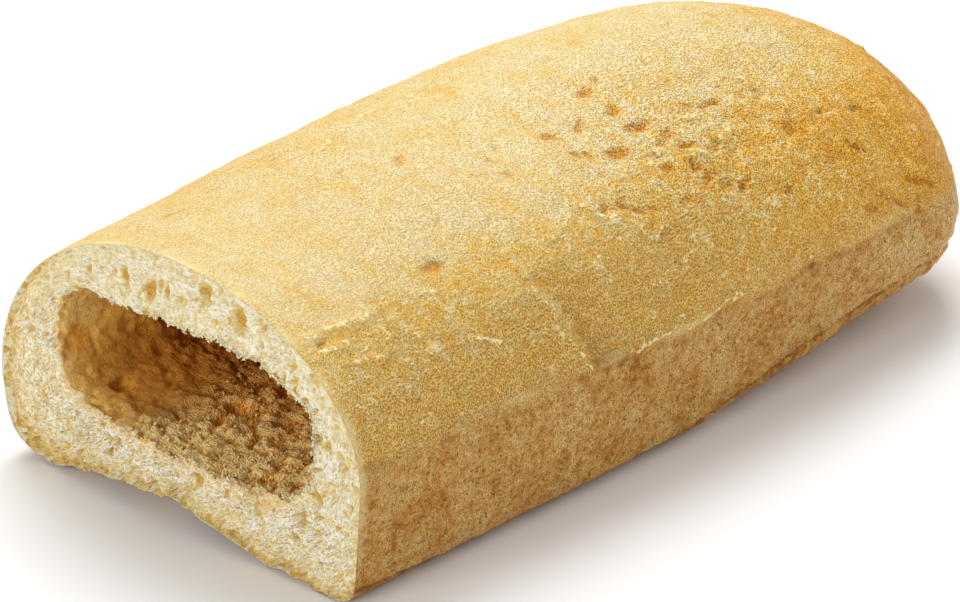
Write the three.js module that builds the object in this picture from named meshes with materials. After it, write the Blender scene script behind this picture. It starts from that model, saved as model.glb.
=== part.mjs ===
// A french hot dog bun: one soft white loaf, cut off square at one end, with a hollow along it for a sausage.
// Millimetres, +Z up. X runs along the loaf from the cut end (-X) to the round nose (+X).
// The loaf stands on z = 0 and the origin is under the middle of it. Its near side is -Y.

import * as THREE from "three";
import { ParametricGeometry } from "three/addons/geometries/ParametricGeometry.js";

// Driving sizes of the loaf
const LENGTH = 140;
const WIDTH = 72;
const HEIGHT = 43;

// The cut end is a little slimmer than the middle: shares of the full width on each side, and of the height
const CUT_WIDTH_NEAR = 0.93;
const CUT_WIDTH_FAR = 0.95;
const CUT_HEIGHT = 0.904;
const FULL_SIZE_AT = 0.6; // share of the length where the loaf reaches its full width and height

// The nose: the share of the length where each outline starts to round off, and how blunt its curve is
const NOSE_NEAR_SIDE = { start: 0.84, bluntness: 1.92 };
const NOSE_FAR_SIDE = { start: 0.724, bluntness: 1.84 };
const NOSE_TOP = { start: 0.48, bluntness: 2.8 };
const NOSE_BASE = { start: 0.9, bluntness: 1.2 };
const TIP_HEIGHT = 14.4;

// The section: a dome over walls that stand nearly straight on a flat base
const DOME_ROUNDNESS = 2.06;
const WIDEST_NEAR = 0.447; // height of the widest line, as a share of the section's height
const WIDEST_FAR = 0.28;
const WIDEST_DROP = 0.31; // how much lower that line sits at the nose
const WIDEST_DROP_START = 0.5;
const WIDEST_DROP_CURVE = 1.5;
const WALL_SQUARENESS_NEAR = 14;
const WALL_SQUARENESS_FAR = 5.5;
const WALL_SQUARENESS_NOSE = 2; // towards the nose the walls round under
const WALL_ROUNDING_START = 0.44;
const WALL_ROUNDING_CURVE = 1.5;
const WALL_LEAN = 0.04; // share of the half width that the walls lean in at the base
const BASE_FLAT_AT = 0.985; // share of the wall's depth below which the base is one flat plane

// The underside rises in a shallow arch at the cut
const ARCH_RISE = 2.9;
const ARCH_MIDDLE = 4;
const ARCH_HALF_WIDTH = 20.5;
const ARCH_LENGTH = 50;

// A fold that runs down the near shoulder: where it meets the wall and where it fades on the dome
const FOLD_LOW = { x: 44, angle: 2 };
const FOLD_HIGH = { x: 38, angle: 38 };
const FOLD_DEPTH = 1.1;
const FOLD_HALF_WIDTH = 4;

// A crease along the widest line of the near side, from the cut to where the nose begins
const CREASE_DEPTH = 0.9;
const CREASE_HALF_ANGLE = 7;
const CREASE_FADE_START = 0.6; // shares of the length
const CREASE_END = 0.78;

// The hollow: a flattened round bore that ends in a blunt round
const HOLLOW_WIDTH = 49.5;
const HOLLOW_HEIGHT = 21.6;
const HOLLOW_DEPTH = 112;
const HOLLOW_MIDDLE_Y = -1.2;
const HOLLOW_FLOOR = 9.4;
const HOLLOW_ROUNDNESS = 3;
const HOLLOW_NARROWING = 0.06; // share of its size lost along its depth
const HOLLOW_END = { start: 0.74, bluntness: 2.2 };

// Torn crumb: how far the cut face sinks between its crags, and how rough the hollow's wall is
const CUT_CRAG_DEPTH = 0.7;
const HOLLOW_CRAG_HEIGHT = 0.6;

// The waves that make the crumb uneven: how fast each one turns along x, y and z, and where it starts
const CRUMB_WAVES = [
  { x: 0.9, y: 0.6, z: 0.3, start: 0 },
  { x: 0.4, y: 0.5, z: -1.1, start: 1 },
  { x: -0.7, y: 0.8, z: 1.3, start: 2 },
];

// Steps of the surface around the loaf and along it: over the crust, across the cut and down the hollow
const STEPS_AROUND = 80;
const CRUST_RINGS = 46;
const CUT_RINGS = 6;
const HOLLOW_RINGS = 21;
const END_CROWDING = 0.3; // rings crowd towards the nose and the hollow's end, more so for a smaller value

const CRUMB_COLOUR = 0xd8b878;
const CRUMB_GLOSS_ROUGHNESS = 0.8;

const degrees = THREE.MathUtils.degToRad;
const mix = THREE.MathUtils.lerp;

// 1 along the body of an outline, falling to 0 at its tip
function roundOff(share, { start, bluntness }) {
  const past = Math.max(0, (share - start) / (1 - start));
  const left = Math.max(0, 1 - past ** bluntness);
  return left ** (1 / bluntness);
}

// 0 up to a start, then rising to 1 at the nose
function riseToNose(share, start, curve) {
  return Math.max(0, (share - start) / (1 - start)) ** curve;
}

// Reach of a rounded square of unit size in a direction, from its roundness: 2 is a circle
function squareReach(cosine, sine, roundness) {
  const sum = Math.abs(cosine) ** roundness + Math.abs(sine) ** roundness;
  return sum ** (-1 / roundness);
}

// Evenly counted rings that crowd towards an end: 0 at that end, 1 at the other
function crowdedShare(count) {
  return ((1 + END_CROWDING) * count ** 2) / (count + END_CROWDING);
}

// Uneven torn crumb, from -1 to 1, as waves that cross in several directions
function crumbWave(x, y, z) {
  let sum = 0;
  for (const wave of CRUMB_WAVES) {
    sum += Math.sin(wave.x * x + wave.y * y + wave.z * z + wave.start);
  }
  return sum / CRUMB_WAVES.length;
}

// How far the crease between the dome and the near wall sinks in
function creaseSink(share, angle) {
  const off = Math.min(angle, 2 * Math.PI - angle) / degrees(CREASE_HALF_ANGLE);
  const along = 1 - THREE.MathUtils.smoothstep(share, CREASE_FADE_START, CREASE_END);
  return CREASE_DEPTH * Math.max(0, 1 - off) * along;
}

// How far the shoulder fold sinks in at a distance from the cut and an angle round the dome
function foldSink(fromCut, angle) {
  const up = (angle - degrees(FOLD_LOW.angle)) / degrees(FOLD_HIGH.angle - FOLD_LOW.angle);
  if (up < 0 || up > 1) {
    return 0;
  }
  const across = (fromCut - mix(FOLD_LOW.x, FOLD_HIGH.x, up)) / FOLD_HALF_WIDTH;
  return FOLD_DEPTH * (1 - up ** 2) * Math.exp(-(across ** 2));
}

// How far the underside rises at a distance from the cut
function archRise(fromCut, y) {
  const across = (y - ARCH_MIDDLE) / ARCH_HALF_WIDTH;
  const along = fromCut / ARCH_LENGTH;
  return ARCH_RISE * Math.max(0, 1 - across ** 2) * Math.max(0, 1 - along) ** 2;
}

// A point of the crust: share of the length from the cut, and angle from the near side up over the top
function crustPoint(share, angle) {
  const fromCut = share * LENGTH;
  const cosine = Math.cos(angle);
  const sine = Math.sin(angle);
  const near = cosine >= 0;
  const growth = Math.sin((Math.min(1, share / FULL_SIZE_AT) * Math.PI) / 2);
  const sideEnd = roundOff(share, near ? NOSE_NEAR_SIDE : NOSE_FAR_SIDE);
  const halfWidth = (WIDTH / 2) * mix(near ? CUT_WIDTH_NEAR : CUT_WIDTH_FAR, 1, growth) * sideEnd;
  const top = mix(TIP_HEIGHT, HEIGHT * mix(CUT_HEIGHT, 1, growth), roundOff(share, NOSE_TOP));
  const base = mix(TIP_HEIGHT, 0, roundOff(share, NOSE_BASE));
  const drop = WIDEST_DROP * riseToNose(share, WIDEST_DROP_START, WIDEST_DROP_CURVE);
  const widest = mix(base, top, (near ? WIDEST_NEAR : WIDEST_FAR) * (1 - drop));

  const crease = creaseSink(share, angle);

  if (sine >= 0) {
    const reach = squareReach(cosine, sine, DOME_ROUNDNESS);
    const sink = foldSink(fromCut, angle) + crease;
    const y = -(halfWidth * reach - sink) * cosine;
    const z = widest + ((top - widest) * reach - sink) * sine;
    return new THREE.Vector3(fromCut - LENGTH / 2, y, z);
  }
  const rounding = riseToNose(share, WALL_ROUNDING_START, WALL_ROUNDING_CURVE);
  const squareness = near ? WALL_SQUARENESS_NEAR : WALL_SQUARENESS_FAR;
  const reach = squareReach(cosine, sine, 1 / mix(1 / squareness, 1 / WALL_SQUARENESS_NOSE, rounding));
  const depth = Math.min(reach * Math.abs(sine), BASE_FLAT_AT) / BASE_FLAT_AT;
  const y = -(halfWidth * reach * (1 - WALL_LEAN * depth) - crease) * cosine;
  const arch = depth < 1 ? 0 : archRise(fromCut, y);
  return new THREE.Vector3(fromCut - LENGTH / 2, y, mix(widest, base, depth) + arch);
}

// A point of the hollow: share of its depth from the mouth, and angle round it
function hollowPoint(share, angle) {
  const size = (1 - HOLLOW_NARROWING * share) * roundOff(share, HOLLOW_END);
  const cosine = Math.cos(angle);
  const sine = Math.sin(angle);
  const reach = size * squareReach(cosine, sine, HOLLOW_ROUNDNESS);
  const x = share * HOLLOW_DEPTH - LENGTH / 2;
  const y = HOLLOW_MIDDLE_Y - (HOLLOW_WIDTH / 2) * reach * cosine;
  const z = HOLLOW_FLOOR + (HOLLOW_HEIGHT / 2) * (1 + reach * sine);
  const crag = HOLLOW_CRAG_HEIGHT * size * crumbWave(x, y, z);
  return new THREE.Vector3(x, y + crag * cosine, z - crag * sine);
}

// A point of the cut face: share of the way from the crust's rim to the hollow's mouth
function cutPoint(share, angle) {
  const point = crustPoint(0, angle).lerp(hollowPoint(0, angle), share);
  const sunk = Math.sin(Math.PI * share) * (1 + crumbWave(point.x, point.y, point.z));
  point.x += CUT_CRAG_DEPTH * sunk;
  return point;
}

// The whole skin of the loaf: from the nose along the crust, across the cut and down the hollow to its end
function bunSkin(around, along, target) {
  const angle = 2 * Math.PI * around;
  const ring = along * (CRUST_RINGS + CUT_RINGS + HOLLOW_RINGS);
  if (ring <= CRUST_RINGS) {
    target.copy(crustPoint(1 - crowdedShare(ring / CRUST_RINGS), angle));
  } else if (ring <= CRUST_RINGS + CUT_RINGS) {
    target.copy(cutPoint((ring - CRUST_RINGS) / CUT_RINGS, angle));
  } else {
    const left = 1 - (ring - CRUST_RINGS - CUT_RINGS) / HOLLOW_RINGS;
    target.copy(hollowPoint(1 - crowdedShare(left), angle));
  }
}

const bun = new THREE.Mesh(
  new ParametricGeometry(bunSkin, STEPS_AROUND, CRUST_RINGS + CUT_RINGS + HOLLOW_RINGS),
  new THREE.MeshStandardMaterial({ color: CRUMB_COLOUR, roughness: CRUMB_GLOSS_ROUGHNESS, metalness: 0 }),
);
bun.name = "bun";

const part = new THREE.Group();
part.add(bun);

export default part;
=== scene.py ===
"""Looks of the french hot dog bun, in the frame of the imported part: golden crust and torn white crumb."""

import math

import bpy
import numpy as np
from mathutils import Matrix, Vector


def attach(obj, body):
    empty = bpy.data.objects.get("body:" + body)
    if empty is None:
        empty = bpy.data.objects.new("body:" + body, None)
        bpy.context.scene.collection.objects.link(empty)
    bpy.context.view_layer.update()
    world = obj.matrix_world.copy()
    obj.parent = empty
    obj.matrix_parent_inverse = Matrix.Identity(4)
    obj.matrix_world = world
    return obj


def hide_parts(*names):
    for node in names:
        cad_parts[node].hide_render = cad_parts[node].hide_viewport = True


# Sizes are in millimetres and become metres when a mesh is made
MM = 0.001

# Form of the loaf, with the part's own named sizes
LENGTH = 140
WIDTH = 72
HEIGHT = 43
CUT_WIDTH_NEAR = 0.93
CUT_WIDTH_FAR = 0.95
CUT_HEIGHT = 0.904
FULL_SIZE_AT = 0.6
NOSE_NEAR_SIDE = {"start": 0.84, "bluntness": 1.92}
NOSE_FAR_SIDE = {"start": 0.724, "bluntness": 1.84}
NOSE_TOP = {"start": 0.48, "bluntness": 2.8}
NOSE_BASE = {"start": 0.9, "bluntness": 1.2}
TIP_HEIGHT = 14.4
DOME_ROUNDNESS = 2.06
WIDEST_NEAR = 0.447
WIDEST_FAR = 0.28
WIDEST_DROP = 0.31
WIDEST_DROP_START = 0.5
WIDEST_DROP_CURVE = 1.5
WALL_SQUARENESS_NEAR = 14
WALL_SQUARENESS_FAR = 5.5
WALL_SQUARENESS_NOSE = 2
WALL_ROUNDING_START = 0.44
WALL_ROUNDING_CURVE = 1.5
WALL_LEAN = 0.04
BASE_FLAT_AT = 0.985
ARCH_RISE = 2.9
ARCH_MIDDLE = 4
ARCH_HALF_WIDTH = 20.5
ARCH_LENGTH = 50
ARCH_EDGE = 0.93  # share of the wall's depth where the arch begins
FOLD_LOW = {"x": 44, "angle": 2}
FOLD_HIGH = {"x": 38, "angle": 38}
FOLD_DEPTH = 1.1
FOLD_STEEP = 1.6  # half width of the fold towards the cut
FOLD_GENTLE = 5.5  # and towards the nose
HOLLOW_WIDTH = 49.5
HOLLOW_HEIGHT = 21.6
HOLLOW_DEPTH = 112
HOLLOW_MIDDLE_Y = -1.2
HOLLOW_FLOOR = 9.4
HOLLOW_ROUNDNESS = 3
HOLLOW_NARROWING = 0.06
HOLLOW_END = {"start": 0.74, "bluntness": 2.2}

# The torn lower edge of the cut
RAGGED_HEIGHT = 0.9
RAGGED_REACH = 2.0

# Steps of the two skins: columns round the loaf, and rings along it
CRUST_COLUMNS = {"dome": 210, "far_wall": 24, "base": 50, "near_wall": 44}
CRUST_RINGS = 245
CRUST_CROWDING = 0.15
EDGE_STEP = 0.04  # a last narrow ring, so that the shading stays even up to the crust's edge
LINING_RINGS = 10
CRUMB_COLUMNS = {"dome": 150, "far_wall": 25, "base": 85, "near_wall": 30}
CUT_RINGS = 32
MOUTH_DEPTH = 14
MOUTH_RINGS = 36
MOUTH_CROWDING = 1.3
SEEN_DEPTH = 50
SEEN_RINGS = 96
DEEP_RINGS = 14
END_CROWDING = 0.3
LINING_END = 0.96  # share of the length where the hidden side of the crust ends
LINING_START = 0.02  # and where it begins
LINING_INSET = 2.2
CRUMB_OVERLAP = 0.08  # the crumb's edge laps over the crust's, so that no gap shows

# Regions of the two skins
CRUST, LINING, CUT, HOLLOW = range(4)

# Rounding of the hollow's mouth: sharp along the roof and the near side, soft along the far side and floor
RIM_SHARP = 0.5
RIM_SOFT = 1.0

# Height of the seam above the base along the near wall: x from the cut, and z
SEAM_X = (0, 6, 16, 50, 62, 72, 85, 101, 110)
SEAM_Z = (2.4, 1.6, 0.9, 0.8, 1.2, 2.8, 5.5, 7.0, 9.0)

# Marks on the crust that show: x from the cut, and y or y and z
DIMPLES = [
    (81.2, -18.1), (85.0, -19.2), (94.2, -20.1), (71.4, -18.0), (73.2, -20.9), (69.9, -22.7),
    (74.4, -23.6), (69.0, -24.9), (73.2, -26.2), (74.1, -27.9), (79.3, -30.3), (67.5, -29.4),
    (58.5, -26.9), (74.4, -7.3), (64.4, -13.1), (58.9, -13.1), (71.1, -8.8), (70.6, -13.6),
    (58.8, -17.3), (63.8, -20.1), (79.5, -25.0), (75.9, -29.5), (86.5, -32.2), (55.2, -26.2),
    (60.1, -27.8), (101.3, -25.9), (104.1, -30.6), (93.7, -26.0), (109.2, -26.1), (25.5, -22.3),
    (3.3, -23.7),
]
RIDGES = [
    [(33.7, 6.3), (45.5, 10.3), (54.5, 11.3), (63.1, 11.6)],
    [(1.4, -22.0), (4.5, -22.5), (8.9, -22.5)],
    [(7.6, -22.9), (10.0, -23.4), (13.4, -23.3)],
    [(2.0, -24.4), (7.2, -24.7)],
    [(5.8, -26.8), (9.6, -27.6)],
    [(14.9, -25.7), (16.3, -27.4)],
    [(25.0, -30.8), (27.8, -31.8)],
    [(43.9, -25.7), (46.8, -25.2), (50.9, -23.7)],
    [(52.0, -24.2), (54.0, -26.6), (56.5, -27.8)],
    [(58.2, -29.4), (59.3, -30.7), (61.9, -30.5)],
    [(68.8, -21.6), (70.8, -22.5)],
    [(78.3, -20.1), (81.1, -20.3)],
    [(72.3, -25.2), (75.8, -25.1)],
    [(80.7, -29.0), (82.9, -30.4)],
    [(81.4, -32.7), (84.8, -32.9)],
    [(92.3, -33.4, 27.6), (96.6, -34.7, 24.4)],
    [
        (35.2, -29.1, 31.5), (37.8, -31.5, 28.3), (37.6, -32.8, 26.3), (39.8, -34.1, 22.5),
        (42.0, -35.3, 18.6),
    ],
    [(50.6, -35.5, 19.3), (55.7, -35.6, 19.9), (58.7, -35.7, 19.2)],
    [(61.5, -35.8, 19.1), (66.4, -35.9, 19.7), (72.3, -35.9, 20.0)],
]
CRACKS = [
    [(104.5, -33.8, 24.0), (109.6, -34.6, 21.2)],
    [(100.9, -34.4, 23.3), (103.3, -34.8, 21.6)],
    [(112.0, -33.3, 23.5), (117.5, -34.0, 20.8)],
    [(112.8, -34.9, 19.6), (114.6, -35.5, 16.6)],
    [(0.4, -33.5, 20.4), (7.0, -34.2, 19.3)],
]

# Larger pores of the cut face: y, z and half width
FACE_PORES = [
    (16.4, 32.0, 0.9), (9.2, 33.6, 1.2), (4.7, 33.2, 1.5), (1.4, 33.9, 1.3), (-6.0, 35.7, 1.5),
    (-12.0, 34.5, 1.9), (26.6, 9.5, 1.1), (23.5, 7.7, 0.9), (23.2, 3.2, 1.0), (14.1, 5.4, 1.3),
    (13.0, 7.4, 1.0), (-22.0, 8.7, 1.5), (-24.3, 8.5, 1.0), (-25.8, 12.7, 1.4), (-2.5, 7.1, 1.3),
    (5.4, 4.0, 1.0), (2.5, 4.6, 1.0),
]

# Dents in the smooth far side of the hollow: x from the cut, y and z, half widths and depth
WALL_DENTS = [
    ((4.8, 23.5, 18.6), (2.2, 3.0, 3.2), 0.3),
    ((7.6, 18.4, 11.9), (2.0, 1.8, 1.1), 1.3),
]

# How many marks are strewn over the crust and the crumb
DIMPLE_COUNT = 70
WRINKLE_COUNT = 220
PORE_COUNT = 420
HOLLOW_PORE_COUNT = 240

# Ranges for a dimple: half length, half width, depth and how dark it is
SHOWN_DIMPLE = {"lengths": (0.8, 2.0), "widths": (0.5, 0.9), "depths": (0.3, 0.5), "shades": (0.5, 1.0)}
STREWN_DIMPLE = {"lengths": (0.6, 1.6), "widths": (0.4, 0.8), "depths": (0.05, 0.2), "shades": (0.2, 0.55)}

# Heights of the other marks on the crust
WRINKLE_HEIGHT = 0.16
RIDGE_HEIGHT = 0.4
CRACK_DEPTH = 0.5

# Unevenness as waves: height and size of each
CRUST_WAVES = [(0.32, 26), (0.2, 9), (0.1, 3.5), (0.05, 1.3)]
BLISTER_WAVES = [(0.36, 3.0), (0.3, 1.6)]
SHOULDER_WAVES = [(0.14, 2.4), (0.1, 1.4)]
WALL_WAVES = [(0.16, 1.3), (0.112, 0.8)]
NOSE_WALL_WAVES = [(0.3, 3.4), (0.2, 1.7)]
SEAM_WAVES = [(0.2, 8), (0.15, 2.5)]
RAGGED_WAVES = [(1.0, 3.1), (0.8, 1.2)]

# The crumb: depth of a pore for its half width, reach of the torn mouth, and how far its edge gives way
PORE_DEPTH = 0.65
HOLLOW_PORE_DEPTH = 0.9
RIM_REACH = {"face_reach": 0.9, "hollow_reach": 1.5}
LOOSE_REACH = {"face_reach": 2.5, "hollow_reach": 5.0}
NEAR_LEAN = 1.1
ROOF_SAG = 1.1
FLECK_CORNERS = 6

NOISE_TABLE = 8192
NOISE_PRIMES = np.array([73856093, 19349663, 83492791])


def mix(first, second, share):
    """A value between two others."""
    return first + (second - first) * share


def ease(value, low, high):
    """0 below low, 1 above high, and a smooth rise between."""
    share = np.clip((value - low) / (high - low), 0, 1)
    return share * share * (3 - 2 * share)


def noise(points, size, seed):
    """Smooth noise from -1 to 1 with bumps about size across."""
    table = np.random.default_rng(seed).uniform(-1, 1, NOISE_TABLE)
    scaled = points / size
    cell = np.floor(scaled).astype(np.int64)
    inside = scaled - cell
    weight = inside * inside * (3 - 2 * inside)
    total = np.zeros(len(points))
    for corner in np.ndindex(2, 2, 2):
        share = np.prod(np.where(corner, weight, 1 - weight), axis=1)
        total += share * table[((cell + corner) @ NOISE_PRIMES) % NOISE_TABLE]
    return total


def waves(points, sizes, first_seed):
    """Noises added up, each with a height and a size, with seeds that count up."""
    total = np.zeros(len(points))
    for number, (height, size) in enumerate(sizes):
        total += height * noise(points, size, first_seed + number)
    return total


def wander(points, size, seeds):
    """Noise in two or three directions, with a seed for each."""
    return np.stack([noise(points, size, seed) for seed in seeds], axis=1)


def bell(value, middle, reach):
    """1 where a value is at its middle, falling off on both sides."""
    return np.exp(-((value - middle) / reach) ** 2)


def round_off(share, start, bluntness):
    """1 along the body of an outline, falling to 0 at its tip."""
    past = np.clip((share - start) / (1 - start), 0, 1)
    return (1 - past ** bluntness) ** (1 / bluntness)


def rise_to_nose(share, start, curve):
    """0 up to a start, then rising to 1 at the nose."""
    return np.clip((share - start) / (1 - start), 0, 1) ** curve


def square_reach(cosine, sine, roundness):
    """Reach of a rounded square of unit size in a direction."""
    return (np.abs(cosine) ** roundness + np.abs(sine) ** roundness) ** (-1 / roundness)


def crowded_share(count, crowding):
    """Evenly counted rings that crowd towards an end: 0 at that end, 1 at the other."""
    return (1 + crowding) * count ** 2 / (count + crowding)


def fold_sink(from_cut, angle):
    """How far the shoulder fold sinks in."""
    low = math.radians(FOLD_LOW["angle"])
    high = math.radians(FOLD_HIGH["angle"])
    up = (angle - low) / (high - low)
    across = from_cut - mix(FOLD_LOW["x"], FOLD_HIGH["x"], up)
    across = across / np.where(across < 0, FOLD_STEEP, FOLD_GENTLE)
    sink = FOLD_DEPTH * (1 - up ** 2) * np.exp(-(across ** 2))
    return np.where((up < 0) | (up > 1), 0, sink)


def arch_rise(from_cut, y):
    """How far the underside rises at the cut."""
    across = np.clip(1 - ((y - ARCH_MIDDLE) / ARCH_HALF_WIDTH) ** 2, 0, 1)
    along = np.clip(1 - from_cut / ARCH_LENGTH, 0, 1)
    return ARCH_RISE * across * along ** 2


def ragged_rise(from_cut, y):
    """How far the lower edge of the cut is torn up."""
    places = np.stack([y, y, y], axis=1) * (1, 0, 0)
    uneven = np.clip(waves(places, RAGGED_WAVES, 14), 0, 1)
    return RAGGED_HEIGHT * uneven * np.exp(-from_cut / RAGGED_REACH)


def crust_form(share, angle):
    """Points of the plain crust at a share of the length and angles from the near side over the top."""
    from_cut = share * LENGTH
    cosine, sine = np.cos(angle), np.sin(angle)
    near = cosine >= 0
    growth = np.sin(np.minimum(1, share / FULL_SIZE_AT) * math.pi / 2)
    side_end = np.where(near, round_off(share, **NOSE_NEAR_SIDE), round_off(share, **NOSE_FAR_SIDE))
    half_width = WIDTH / 2 * mix(np.where(near, CUT_WIDTH_NEAR, CUT_WIDTH_FAR), 1, growth) * side_end
    top = mix(TIP_HEIGHT, HEIGHT * mix(CUT_HEIGHT, 1, growth), round_off(share, **NOSE_TOP))
    base = mix(TIP_HEIGHT, 0, round_off(share, **NOSE_BASE))
    drop = WIDEST_DROP * rise_to_nose(share, WIDEST_DROP_START, WIDEST_DROP_CURVE)
    widest = mix(base, top, np.where(near, WIDEST_NEAR, WIDEST_FAR) * (1 - drop))

    dome_reach = square_reach(cosine, sine, DOME_ROUNDNESS)
    sink = fold_sink(from_cut, angle)
    dome_y = -(half_width * dome_reach - sink) * cosine
    dome_z = widest + ((top - widest) * dome_reach - sink) * sine

    rounding = rise_to_nose(share, WALL_ROUNDING_START, WALL_ROUNDING_CURVE)
    squareness = np.where(near, WALL_SQUARENESS_NEAR, WALL_SQUARENESS_FAR)
    wall_reach = square_reach(cosine, sine, 1 / mix(1 / squareness, 1 / WALL_SQUARENESS_NOSE, rounding))
    depth = np.minimum(wall_reach * np.abs(sine), BASE_FLAT_AT) / BASE_FLAT_AT
    wall_y = -half_width * wall_reach * cosine * (1 - WALL_LEAN * depth)
    flat = ease(wall_reach * np.abs(sine), ARCH_EDGE, BASE_FLAT_AT)
    lift = arch_rise(from_cut, wall_y) + ragged_rise(from_cut, wall_y)
    wall_z = mix(widest, base, depth) + flat * lift

    upper = sine >= 0
    x = np.full(len(angle), from_cut - LENGTH / 2)
    return np.stack([x, np.where(upper, dome_y, wall_y), np.where(upper, dome_z, wall_z)], axis=1)


def hollow_form(share, angle):
    """Points of the plain hollow at a share of its depth."""
    size = (1 - HOLLOW_NARROWING * share) * round_off(share, **HOLLOW_END)
    cosine, sine = np.cos(angle), np.sin(angle)
    reach = size * square_reach(cosine, sine, HOLLOW_ROUNDNESS)
    x = np.full(len(angle), share * HOLLOW_DEPTH - LENGTH / 2)
    y = HOLLOW_MIDDLE_Y - HOLLOW_WIDTH / 2 * reach * cosine
    z = HOLLOW_FLOOR + HOLLOW_HEIGHT / 2 * (1 + reach * sine)
    return np.stack([x, y, z], axis=1)


def column_angles(dome, far_wall, base, near_wall):
    """Angles of the columns: over the dome, down the far wall, under the base and up again."""
    over = np.linspace(0, math.pi, dome, endpoint=False)
    down = math.pi + np.arctan(np.linspace(0, 1, far_wall, endpoint=False))
    under = 1.5 * math.pi + np.arctan(np.linspace(-1, 1, base, endpoint=False))
    up = 2 * math.pi - np.arctan(np.linspace(1, 0, near_wall, endpoint=False))
    return np.concatenate([over, down, under, up])


def half_steps(angles):
    """The same columns with one more between each two."""
    following = np.append(angles[1:], 2 * math.pi)
    return np.stack([angles, (angles + following) / 2], axis=1).ravel()


def lining_plan(columns):
    """Region, share and columns of the hidden rings, from the cut to the nose."""
    shares = [LINING_START]
    for count in range(1, LINING_RINGS + 1):
        shares.append(LINING_END * count / LINING_RINGS)
    return [(LINING, share, columns) for share in shares] + [(LINING, LINING_END, columns[:1])]


def crust_plan():
    """The same for all the crust's rings, from the nose to the cut and back inside."""
    columns = column_angles(**CRUST_COLUMNS)
    plan = [(CRUST, 1.0, columns[:1])]
    for count in range(1, CRUST_RINGS):
        plan.append((CRUST, 1 - crowded_share(count / CRUST_RINGS, CRUST_CROWDING), columns))
    plan.append((CRUST, EDGE_STEP / LENGTH, columns))
    plan.append((CRUST, 0.0, columns))
    return plan + lining_plan(columns)


def crumb_plan():
    """The same for the crumb's rings: hidden outside, cut face, and hollow."""
    coarse = column_angles(**CRUMB_COLUMNS)
    fine = half_steps(coarse)
    plan = lining_plan(coarse)[::-1]
    for count in range(CUT_RINGS):
        plan.append((CUT, count / CUT_RINGS, fine))
    for count in range(MOUTH_RINGS + 1):
        plan.append((HOLLOW, (count / MOUTH_RINGS) ** MOUTH_CROWDING * MOUTH_DEPTH / HOLLOW_DEPTH, fine))
    for count in range(1, SEEN_RINGS + 1):
        plan.append((HOLLOW, mix(MOUTH_DEPTH, SEEN_DEPTH, count / SEEN_RINGS) / HOLLOW_DEPTH, coarse))
    for count in range(1, DEEP_RINGS):
        left = crowded_share(1 - count / DEEP_RINGS, END_CROWDING)
        plan.append((HOLLOW, 1 - left * (1 - SEEN_DEPTH / HOLLOW_DEPTH), coarse))
    plan.append((HOLLOW, 1.0, coarse[:1]))
    return plan


def inset(points, distance):
    """Points of a section moved towards the middle of the loaf."""
    inward = np.array([0, HOLLOW_MIDDLE_Y, HOLLOW_FLOOR + HOLLOW_HEIGHT / 2]) - points
    inward[:, 0] = 0
    return points + inward * (distance / np.linalg.norm(inward, axis=1))[:, None]


def rim_radius(mouth):
    """Rounding of the hollow's edge at points of its mouth."""
    far = ease(mouth[:, 1], 8, 20)
    floor = ease(mouth[:, 2], 16, 10) * ease(mouth[:, 1], -16, 2)
    return mix(RIM_SHARP, RIM_SOFT, np.maximum(far, floor))


def ring_points(region, share, angles):
    """Points of one ring of the plain form."""
    if region == CRUST:
        return crust_form(share, angles)
    if region == LINING and len(angles) == 1:
        return np.array([[share * LENGTH - LENGTH / 2, HOLLOW_MIDDLE_Y, TIP_HEIGHT]])
    if region == LINING:
        return inset(crust_form(share, angles), LINING_INSET)
    mouth = hollow_form(0.0, angles)
    rim = rim_radius(mouth)
    if region == HOLLOW:
        ring = hollow_form(share, angles)
        ring[:, 0] += rim * np.exp(-share * HOLLOW_DEPTH / rim)
        return ring
    outside = inset(crust_form(0.0, angles), -CRUMB_OVERLAP)
    ring = mix(outside, mouth, share)
    to_mouth = (1 - share) * np.linalg.norm(outside - mouth, axis=1)
    ring[:, 0] += rim - np.sqrt(rim ** 2 - np.clip(rim - to_mouth, 0, None) ** 2)
    return ring


def faces_between(first, second):
    """Faces that join two rings of vertex numbers: equal, double, half, or one point."""
    first_next = np.roll(first, -1)
    second_next = np.roll(second, -1)
    if len(first) == 1:
        corners = [np.full(len(second), first[0]), second_next, second]
    elif len(second) == 1:
        corners = [first, first_next, np.full(len(first), second[0])]
    elif len(second) == len(first):
        corners = [first, first_next, second_next, second]
    elif len(second) == 2 * len(first):
        corners = [first, first_next, np.roll(second, -2)[::2], second[1::2], second[::2]]
    else:
        corners = [first[::2], first[1::2], np.roll(first, -2)[::2], second_next, second]
    return np.stack(corners, axis=1).tolist()


def way_round(ring, angles):
    """Distance round a ring from the near side's widest line, and below 0 down the near wall."""
    steps = np.linalg.norm(np.roll(ring, -1, axis=0) - ring, axis=1)
    distance = np.cumsum(steps) - steps
    near_wall = (np.sin(angles) < 0) & (np.cos(angles) > 0)
    return np.where(near_wall, distance - steps.sum(), distance)


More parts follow.
